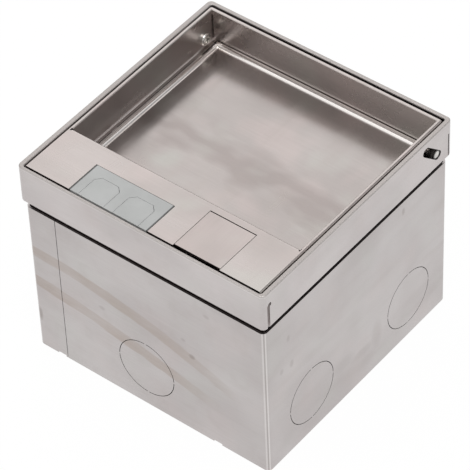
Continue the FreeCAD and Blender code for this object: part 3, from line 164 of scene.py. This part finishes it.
def rim_marks(tree, place, metal, gloss):
    """The frame's folded rim: darker at its top than its faces, a painted highlight at its bend, and more
    matt.
    """
    height = add(tree, "SeparateXYZ", (place,)).outputs["Z"]
    upper = add(tree, "MapRange", (height, rim_top - 1.0 * MM, rim_top - 0.3 * MM, 0, 1))
    # painted highlight: the rim's bend is lightened in colour
    bend = stripe(tree, height, rim_top - 1.3 * MM, rim_top - 0.25 * MM, 0.3 * MM)
    metal = lay_over(tree, metal, (upper, "#A8A29F"),
                     (add(tree, "Math", (bend, 0.3), operation="MULTIPLY"), "#F0ECEA"))
    matt = add(tree, "MapRange", (height, rim_top - 2.2 * MM, rim_top - 1.2 * MM, 0, 0.22))
    return metal, add(tree, "Math", (gloss, matt), operation="ADD")


def tray_marks(tree, place, metal, gloss):
    """A duller wiped band across the tray's floor, a painted reflection of the dark back wall as a darker
    shade along its back, a painted highlight on the bent-up edges, and the dark joint along their outside."""
    x, y, z = add(tree, "SeparateXYZ", (place,)).outputs
    cloud = mottling(tree, place, 16, 2.0, 0.5, (2, 1, 1), (0, 0, 0), (4.1, 0.3, 0))
    wander = add(tree, "MapRange", (cloud, 0.3, 0.7, -8 * MM, 8 * MM))
    wiped = stripe(tree, add(tree, "Math", (y, wander), operation="ADD"), 3 * MM, 9 * MM, 9 * MM)
    # painted reflection: a darker shade along the floor's back, for the back wall mirrored there
    shade = add(tree, "MapRange", (y, tray_back - 16 * MM, tray_back - 10 * MM, 0, 0.45))
    # painted highlight: the bent-up edges and their bends are lightened in colour
    edge = add(tree, "MapRange", (z, tray_floor + 0.10 * MM, tray_floor + 0.35 * MM, 0, 1))
    far_x = add(tree, "Math", (x,), operation="ABSOLUTE")
    side_joint = add(tree, "MapRange", (far_x, tray_side - 0.32 * MM, tray_side - 0.22 * MM, 0, 1))
    back_joint = add(tree, "MapRange", (y, tray_back - 0.32 * MM, tray_back - 0.22 * MM, 0, 1))
    joint = add(tree, "Math", (side_joint, back_joint), operation="MAXIMUM")
    metal = lay_over(tree, metal,
                     (add(tree, "Math", (wiped, 0.75), operation="MULTIPLY"), "#9D9491"),
                     (shade, "#6F6A68"),
                     (edge, "#F3EEEB"),
                     (add(tree, "Math", (joint, edge), operation="MULTIPLY"), "#5A524F"))
    return metal, gloss


def dirt_and_shade_line(tree, place, colour):
    """The thin dark line where the insert's plate meets the lid, painted shade and dirt in the joint.  It
    shows at the plate's sides; at the back it lies on the ledge under the lid."""
    x, y, _ = add(tree, "SeparateXYZ", (place,)).outputs
    offset = add(tree, "Math", (x, insert_middle), operation="SUBTRACT")
    aside = add(tree, "Math", (offset,), operation="ABSOLUTE")
    sides = add(tree, "MapRange", (aside, dirt_and_shade_sides - 0.24 * MM, dirt_and_shade_sides - 0.14 * MM, 0, 0.8))
    back = add(tree, "MapRange", (y, dirt_and_shade_back - 0.34 * MM, dirt_and_shade_back - 0.24 * MM, 0, 1))
    # painted shade and dirt: a near-black line along the plate's joint with the lid
    return lay_over(tree, colour, (add(tree, "Math", (sides, back), operation="MAXIMUM"), "#161514"))


# -------------------------------------------------------------------------------------------------- materials
def stainless_sheet(name, along, roughness, light, dark, smear, turn=(0, 0, 0), marks=None):
    """Stainless sheet, cold rolled and finely ground along one axis: a satin metal with a drawn-out grain,
    faint heat tints and wiped smears.  The real grit lines are 0.05 mm wide; they are drawn 0.5 mm wide so
    that they show.  marks, if given, adds what only one piece has to the colour and the gloss."""
    material, tree = new_material(name)
    place = add(tree, "TexCoord").outputs["Object"]
    lines = mottling(tree, place, 0.5, 3.0, 0.7, {"x": (60, 1, 1), "y": (1, 60, 1)}[along])
    patches = mottling(tree, place, 34, 2.0, 0.5, {"x": (1.6, 1, 1), "y": (1, 1.6, 1)}[along])
    wipes = mottling(tree, place, 9, 2.0, 0.6, (1, 6, 1), turn, (0.3, 0.1, 0.2))
    tints = mottling(tree, place, 22, 1.0, 0.5, (1, 1, 1), (0, 0, 0), (1.7, 0.4, 2.2))
    metal = lay_over(tree, light,
                     (add(tree, "MapRange", (patches, 0.35, 0.65, 0, 1)), dark),
                     (add(tree, "MapRange", (tints, 0.52, 0.72, 0, 0.35 * smear)), "#C9B9B6"),
                     (add(tree, "MapRange", (tints, 0.46, 0.28, 0, 0.35 * smear)), "#BDC2BA"),
                     (add(tree, "MapRange", (wipes, 0.50, 0.70, 0, 0.30 * smear)), "#A79F9A"))
    sheen = add(tree, "MapRange", (patches, 0.3, 0.7, roughness - 0.03, roughness + 0.05))
    wiped = add(tree, "MapRange", (wipes, 0.50, 0.70, 0, 0.08 * smear))
    gloss = add(tree, "Math", (sheen, wiped), operation="ADD")
    if marks:
        metal, gloss = marks(tree, place, metal, gloss)
    metal = lay_over(tree, metal, (add(tree, "MapRange", (lines, 0.40, 0.65, 0, 0.10)), "#8F8784"))
    ridges = add(tree, "Bump", {"Strength": 0.03, "Distance": 0.05 * MM, "Height": lines})
    shader = add(tree, "BsdfPrincipled", {"Metallic": 1.0, "Anisotropic": 0.25, "Base Color": metal,
                                          "Roughness": gloss, "Normal": ridges})
    add(tree, "OutputMaterial", (shader,))
    return material


def plated_steel(name):
    """Zinc-plated steel: bright, with a fine spangle of 1.5 mm in its colour and gloss."""
    material, tree = new_material(name)
    place = add(tree, "TexCoord").outputs["Object"]
    spangle = mottling(tree, place, 1.5, 3.0, 0.6)
    colour = lay_over(tree, "#D9D7D2", (add(tree, "MapRange", (spangle, 0.35, 0.65, 0, 1)), "#BDBBB7"))
    gloss = add(tree, "MapRange", (spangle, 0.3, 0.7, 0.16, 0.26))
    shader = add(tree, "BsdfPrincipled", {"Metallic": 1.0, "Base Color": colour, "Roughness": gloss})
    add(tree, "OutputMaterial", (shader,))
    return material


def shaded_collar_steel(name):
    """The sliding collar in a satin brown-black metal, painted shade so the gap under the frame reads dark.
    """
    material, tree = new_material(name)
    place = add(tree, "TexCoord").outputs["Object"]
    bloom = mottling(tree, place, 12, 3.0, 0.6)
    colour = lay_over(tree, "#4A4242", (add(tree, "MapRange", (bloom, 0.35, 0.65, 0, 1)), "#3A3333"))
    gloss = add(tree, "MapRange", (bloom, 0.3, 0.7, 0.40, 0.50))
    shader = add(tree, "BsdfPrincipled", {"Metallic": 1.0, "Base Color": colour, "Roughness": gloss})
    add(tree, "OutputMaterial", (shader,))
    return material


def moulded_plastic(name, light, dark, roughness, marks=None):
    """Injection-moulded plastic with a spark-eroded surface: an even fine pebble and a soft, uneven sheen.
    The real pebble is about 0.1 mm wide; it is drawn 0.6 mm wide so that it shows.  marks, if given, adds
    what only one piece has to the colour."""
    material, tree = new_material(name)
    place = add(tree, "TexCoord").outputs["Object"]
    pebble = mottling(tree, place, 0.6, 3.0, 0.6)
    cloud = mottling(tree, place, 14)
    colour = lay_over(tree, light, (add(tree, "MapRange", (cloud, 0.35, 0.65, 0, 1)), dark))
    if marks:
        colour = marks(tree, place, colour)
    gloss = add(tree, "MapRange", (cloud, 0.3, 0.7, roughness - 0.04, roughness + 0.04))
    grain = add(tree, "Bump", {"Strength": 0.12, "Distance": 0.04 * MM, "Height": pebble})
    shader = add(tree, "BsdfPrincipled", {"IOR": 1.5, "Base Color": colour, "Roughness": gloss,
                                          "Normal": grain})
    add(tree, "OutputMaterial", (shader,))
    return material


def turned_brass(name):
    """Turned brass: a warm metal with rings left by the cutting tool around the stud's upright axis.  The
    real rings are 0.1 mm apart; they are drawn 0.4 mm apart so that they show."""
    material, tree = new_material(name)
    place = add(tree, "TexCoord").outputs["Object"]
    rings = mottling(tree, place, 0.4, 2.0, 0.6, (40, 40, 1))
    colour = lay_over(tree, "#D9B36A", (add(tree, "MapRange", (rings, 0.35, 0.65, 0, 1)), "#B98F46"))
    grooves = add(tree, "Bump", {"Strength": 0.2, "Distance": 0.04 * MM, "Height": rings})
    shader = add(tree, "BsdfPrincipled", {"Metallic": 1.0, "Roughness": 0.28, "Base Color": colour,
                                          "Normal": grooves})
    add(tree, "OutputMaterial", (shader,))
    return material


def foam_strip(name):
    """Closed-cell foam: nearly black, with cells of 0.5 mm."""
    material, tree = new_material(name)
    place = add(tree, "TexCoord").outputs["Object"]
    cells = add(tree, "TexVoronoi", {"Vector": place, "Scale": 1 / (0.5 * MM)})
    colour = lay_over(tree, "#141414", (add(tree, "MapRange", (cells, 0.1, 0.6, 0, 1)), "#2A2A2A"))
    pores = add(tree, "Bump", {"Strength": 0.5, "Distance": 0.1 * MM, "Height": cells})
    shader = add(tree, "BsdfPrincipled", {"Roughness": 0.85, "Base Color": colour, "Normal": pores})
    add(tree, "OutputMaterial", (shader,))
    return material


finishes = {
    "wall_sheet": stainless_sheet("ground stainless, box walls", "x", 0.33, "#C2BDBC", "#BAB4B3", 0.35,
                                  (0, 0, 0.5), box_marks),
    "frame_sheet": stainless_sheet("ground stainless, frame", "x", 0.30, "#C9C3C2", "#BFB9B8", 0.3,
                                   marks=rim_marks),
    "lid_sheet": stainless_sheet("ground stainless, lid", "x", 0.27, "#BCB4B1", "#B0A8A5", 0.7),
    "tray_sheet": stainless_sheet("ground stainless, tray", "x", 0.19, "#B5AEAB", "#A9A29F", 0.8, (0, 0, 0.9),
                                  tray_marks),
    "flap_sheet": stainless_sheet("ground stainless, pull flap", "y", 0.28, "#BAB0AD", "#AEA5A2", 0.6),
    # painted shade: the collar is coloured near black to stand for the shade in the gap under the frame
    "collar_sheet": shaded_collar_steel("collar steel in painted shade"),
    "zinc": plated_steel("zinc-plated steel"),
    "grey": moulded_plastic("polycarbonate, light grey", "#A3A4A3", "#9C9D9C", 0.45),
    # the plate's edge line is dirt and painted shade
    "grey_plate": moulded_plastic("polycarbonate, light grey, edged with dirt", "#A3A4A3", "#9C9D9C", 0.45,
                                  dirt_and_shade_line),
    "white": moulded_plastic("polycarbonate, white", "#E8E7E2", "#DEDDD7", 0.35),
    "black": moulded_plastic("polyamide, black", "#1B1B1D", "#252527", 0.5),
    "roller_grey": moulded_plastic("acetal, dark grey", "#35322F", "#2A2826", 0.4),
    "brass": turned_brass("turned brass"),
    "foam": foam_strip("closed-cell foam"),
}
corners = ("front_left", "front_right", "back_left", "back_right")
wearing = {
    "wall_sheet": ["base_shell", "seam_strip", "base_floor", "levelling_brackets"],
    "frame_sheet": ["trim_frame", "levelling_lugs", "lid_ledges", "lid_rests"],
    "collar_sheet": ["frame_collar"],
    "lid_sheet": ["lid_shell", "flap_well", "tray_tack_welds"],
    "tray_sheet": ["tray_pan"],
    "flap_sheet": ["pull_flap", "flap_pin"],
    "zinc": ["pivot_screw_left", "pivot_screw_right", "pivot_nuts", "outlet_flap_pin", "carrier_legs",
             "carrier_plate", "carrier_screws", "terminal_screws", "earth_springs_left",
             "earth_springs_right"]
            + [kind + corner for kind in ("levelling_screw_", "screw_clip_") for corner in corners],
    "grey": ["outlet_flap_left", "outlet_flap_right"],
    "grey_plate": ["outlet_insert"],
    "white": ["socket_front_left", "socket_front_right", "data_outlet"],
    "black": ["socket_back_left", "socket_back_right", "data_jacks"],
    "roller_grey": ["pivot_roller_left", "pivot_roller_right"],
    "brass": ["earth_stud", "earth_nut_set"],
    "foam": ["ledge_seals"],
}
for finish, nodes in wearing.items():
    for node_name in nodes:
        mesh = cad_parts[node_name].data
        mesh.materials.clear()
        mesh.materials.append(finishes[finish])


# -------------------------------------------------------------------------------------------- floor and light
def white_ground():
    """A wide sheet of white paper: white to the camera and in reflections, and it takes the box's shadow."""
    reach = 4.0
    below = -0.05 * MM
    glow_share = 0.97                               # the rest is paper in the lamps' light
    corners_of_paper = [(-reach, -reach, 0), (reach, -reach, 0), (reach, reach, 0), (-reach, reach, 0)]
    mesh = bpy.data.meshes.new("ground")
    mesh.from_pydata(corners_of_paper, [], [(0, 1, 2, 3)])
    ground = bpy.data.objects.new("ground", mesh)
    bpy.context.scene.collection.objects.link(ground)
    ground.location.z = below
    material, tree = new_material("white paper")
    paper = add(tree, "BsdfDiffuse", {"Color": "#F4F3F2"})
    glow = add(tree, "Emission", {"Color": "#FFFFFF", "Strength": 1.0})
    path = add(tree, "LightPath").outputs
    seen = add(tree, "Math", (path["Is Camera Ray"], path["Is Glossy Ray"]), operation="MAXIMUM")
    share = add(tree, "Math", (seen, glow_share), operation="MULTIPLY")
    add(tree, "OutputMaterial", (add(tree, "MixShader", (share, paper, glow)),))
    mesh.materials.append(material)


def softbox(name, direction, distance, size, radiance):
    """A square lamp that faces the box's upper half; its power follows from the radiance it should show."""
    upper_half = Vector((0, 0, 80)) * MM
    lamp = bpy.data.lights.new(name, "AREA")
    lamp.shape = "SQUARE"
    lamp.size = size
    lamp.energy = radiance * math.pi * size * size
    holder = bpy.data.objects.new(name, lamp)
    bpy.context.scene.collection.objects.link(holder)
    away = Vector(direction).normalized()
    holder.location = upper_half + away * distance
    holder.rotation_euler = away.to_track_quat("Z", "Y").to_euler()


def surroundings(cove, ceiling):
    """A white cove around the table under a grey ceiling, whose middle is as pale as the cove; white to the
    camera."""
    world = bpy.data.worlds.new("room")
    bpy.context.scene.world = world
    world.use_nodes = True
    tree = world.node_tree
    tree.nodes.clear()
    height = add(tree, "SeparateXYZ", (add(tree, "TexCoord").outputs["Generated"],)).outputs["Z"]
    grey = add(tree, "MapRange", (height, 0.40, 0.64, cove, ceiling))
    paler = add(tree, "MapRange", (height, 0.75, 0.86, 0, cove - ceiling))
    brightness = add(tree, "Math", (grey, paler), operation="ADD")
    room = add(tree, "Background", {"Color": "#FFFFFF", "Strength": brightness})
    white = add(tree, "Background", {"Color": "#FFFFFF", "Strength": 1.0})
    to_camera = add(tree, "LightPath").outputs["Is Camera Ray"]
    add(tree, "OutputWorld", (add(tree, "MixShader", (to_camera, room, white)),))


def studio_camera():
    """A long lens from the front right, 45 degrees up, a little rolled."""
    azimuth, elevation, roll = math.radians(40.03), math.radians(45.0), math.radians(-2.68)
    target = Vector((9.5, -14.6, 74.0)) * MM
    distance = 1.4686                               # metres
    away = Vector((math.sin(azimuth) * math.cos(elevation), -math.cos(azimuth) * math.cos(elevation),
                   math.sin(elevation)))
    right = Vector((math.cos(azimuth), math.sin(azimuth), 0))
    up = away.cross(right)
    turned_right = right * math.cos(roll) + up * math.sin(roll)
    turned_up = up * math.cos(roll) - right * math.sin(roll)
    turn = Matrix((turned_right, turned_up, away)).transposed().to_4x4()
    lens = bpy.data.cameras.new("camera")
    lens.sensor_width = 36
    lens.lens = 246.9447
    camera = bpy.data.objects.new("camera", lens)
    bpy.context.scene.collection.objects.link(camera)
    camera.matrix_world = Matrix.Translation(target + away * distance) @ turn
    bpy.context.scene.camera = camera


white_ground()
surroundings(0.85, 0.31)
softbox("back left softbox", (-0.50, 0.58, 0.75), 1.4, 1.6, 0.90)
softbox("front left softbox", (-0.50, -0.60, 0.78), 1.6, 1.4, 0.60)
softbox("key lamp", (0.30, -0.25, 0.92), 1.6, 1.0, 3.3)
studio_camera()
bpy.context.scene.view_settings.view_transform = "Standard"
